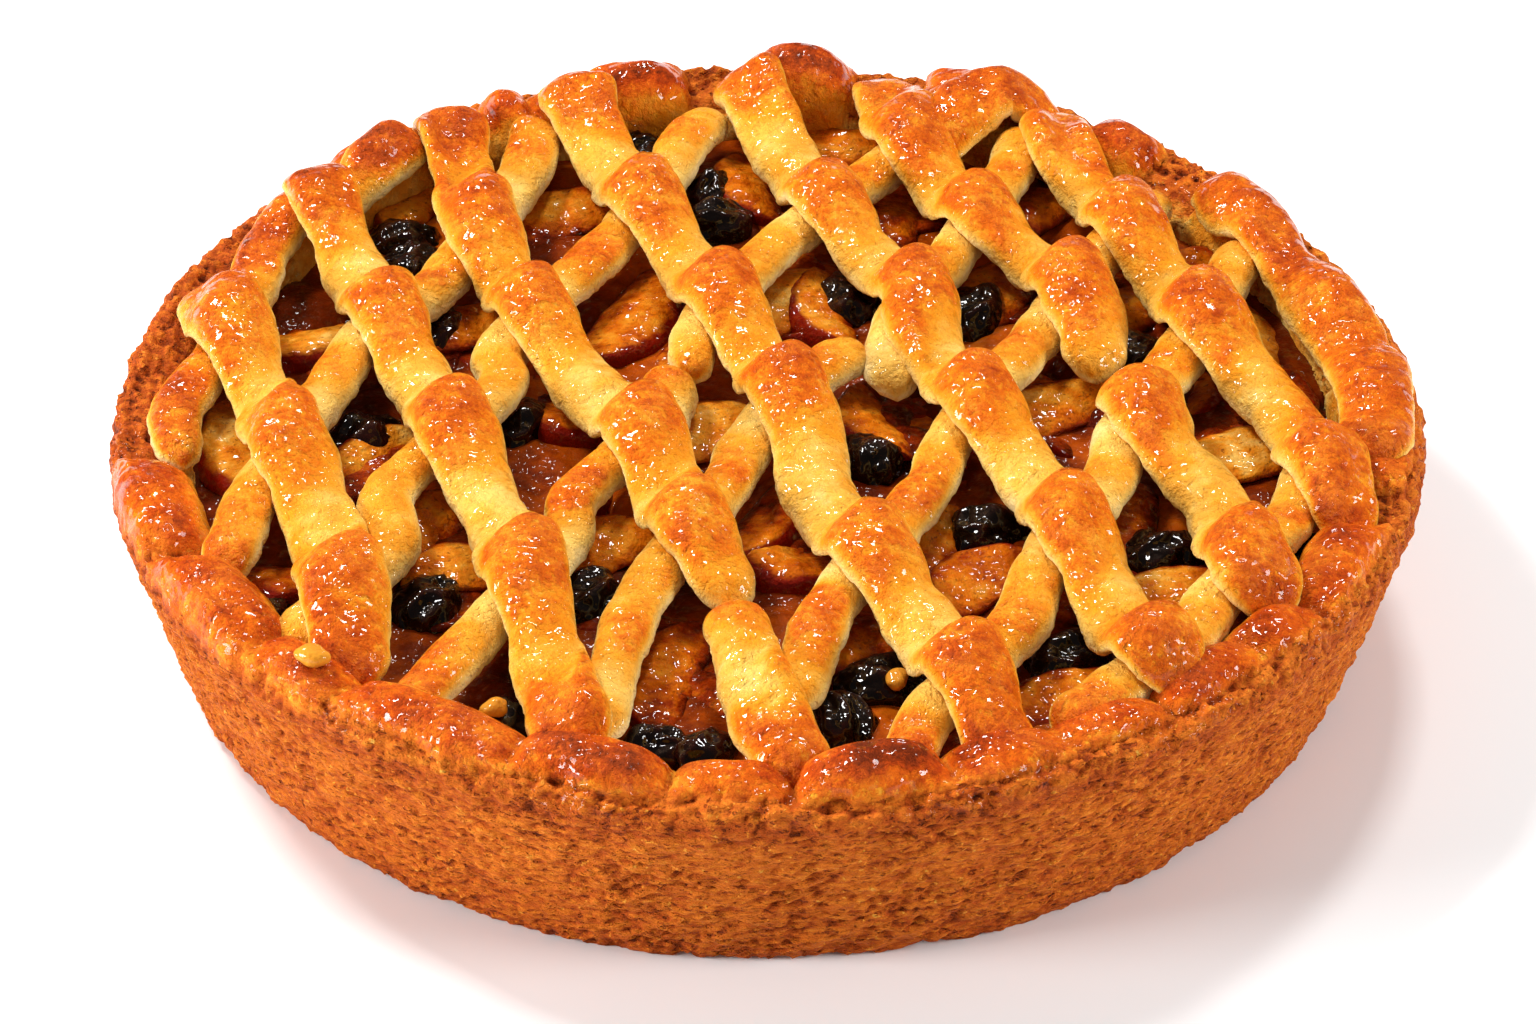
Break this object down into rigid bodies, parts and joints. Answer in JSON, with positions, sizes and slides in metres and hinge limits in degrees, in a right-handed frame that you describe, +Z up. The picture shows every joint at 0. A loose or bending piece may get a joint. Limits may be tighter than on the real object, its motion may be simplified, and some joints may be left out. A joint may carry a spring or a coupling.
{
  "type": "lattice apple pie",
  "caption": "Deep round apple pie in a crumbly shortcrust case, with a glazed dough lattice laid over apple slices and raisins.",
  "frame": {"origin": "on the table, under the middle of the pie", "axes": "+Z up out of the pie; -Y towards the side that faces the viewer in the picture; +X to the right"},
  "size_m": [0.26, 0.26, 0.057],
  "materials": {
    "shortcrust": "crumbly golden brown shortcrust, matte",
    "filling": "syrupy cooked apple and raisins, glossy",
    "cross_dough": "pale glazed dough, golden at its edges",
    "long_dough": "glazed dough, browned where it rises over the cross strips"
  },
  "bodies": {
    "root": {"pie_case": "shortcrust", "apple_filling": "filling", "cross_strip_1": "cross_dough", "cross_strip_2": "cross_dough", "cross_strip_3": "cross_dough", "cross_strip_4": "cross_dough", "cross_strip_5": "cross_dough", "cross_strip_6": "cross_dough", "cross_strip_7": "cross_dough", "cross_strip_8": "cross_dough", "cross_strip_9": "cross_dough", "cross_strip_10": "cross_dough", "long_strip_1": "long_dough", "long_strip_2": "long_dough", "long_strip_3": "long_dough", "long_strip_4": "long_dough", "long_strip_5": "long_dough", "long_strip_6": "long_dough", "long_strip_7": "long_dough", "long_strip_8": "long_dough", "long_strip_9": "long_dough", "long_strip_10": "long_dough"}
  },
  "joints": []
}
